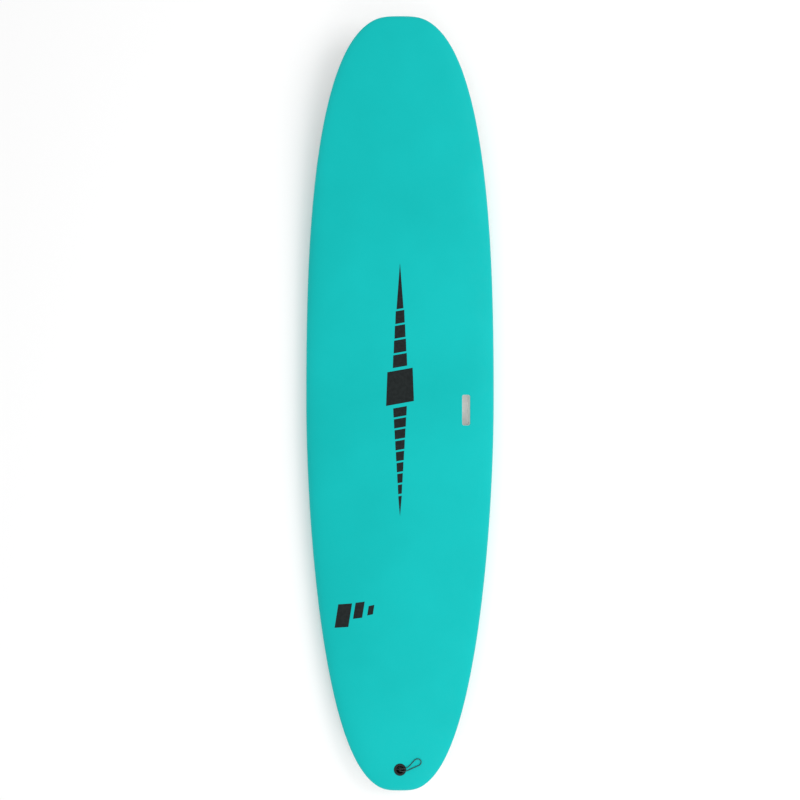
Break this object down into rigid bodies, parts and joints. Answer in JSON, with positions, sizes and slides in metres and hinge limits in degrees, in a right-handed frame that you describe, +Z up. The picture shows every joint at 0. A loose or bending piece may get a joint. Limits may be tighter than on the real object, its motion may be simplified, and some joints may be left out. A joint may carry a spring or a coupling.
{
  "type": "surfboard",
  "caption": "Soft-top longboard: foam core and stringers in a foam deck skin over a plastic slick, with empty fin boxes, a finger grip and a leash plug with cord loop.",
  "frame": {"origin": "on the ground under the middle of the board, which lies deck up on the flat stretch of its underside", "axes": "+Y to the nose, +Z up out of the deck, +X to the right seen from above with the nose ahead"},
  "size_m": [0.6036, 2.4376, 0.15],
  "materials": {
    "eps_foam": "expanded foam, beaded",
    "plywood": "plain plywood",
    "dense_foam": "fine-celled foam",
    "backing_foam": "closed-cell foam",
    "slick": "satin sheet",
    "deck_foam": "fine-textured closed-cell foam",
    "grip_plastic": "satin moulded",
    "box_plastic": "satin moulded",
    "steel": "stainless",
    "plug_plastic": "satin moulded",
    "cord": "braided"
  },
  "bodies": {
    "board": {"core_outer_left": "eps_foam", "core_inner_left": "eps_foam", "core_inner_right": "eps_foam", "core_outer_right": "eps_foam", "stringer_left": "plywood", "stringer_center": "plywood", "stringer_right": "plywood", "fin_block_left": "dense_foam", "fin_block_right": "dense_foam", "fin_block_center": "dense_foam", "tail_block": "dense_foam", "bottom_backing": "backing_foam", "bottom_slick": "slick", "deck_skin": "deck_foam", "grip_cup": "grip_plastic", "fin_box_left": "box_plastic", "fin_box_right": "box_plastic", "fin_box_center": "box_plastic", "leash_cup": "plug_plastic", "leash_plate": "plug_plastic", "leash_bar": "steel", "leash_knot": "cord", "leash_loop": "cord"},
    "screw_left": {"fin_screw_left": "steel"},
    "screw_right": {"fin_screw_right": "steel"},
    "screw_center": {"fin_screw_center": "steel"}
  },
  "joints": [
    {"name": "left_screw_travel", "type": "slide", "parent": "board", "child": "screw_left", "axis": [-0.0246, -0.6659, 0.7456], "range_m": [0, 0.004]},
    {"name": "right_screw_travel", "type": "slide", "parent": "board", "child": "screw_right", "axis": [0.0246, -0.6659, 0.7456], "range_m": [0, 0.004]},
    {"name": "center_screw_travel", "type": "slide", "parent": "board", "child": "screw_center", "axis": [0, -0.652, 0.7582], "range_m": [0, 0.004]}
  ]
}
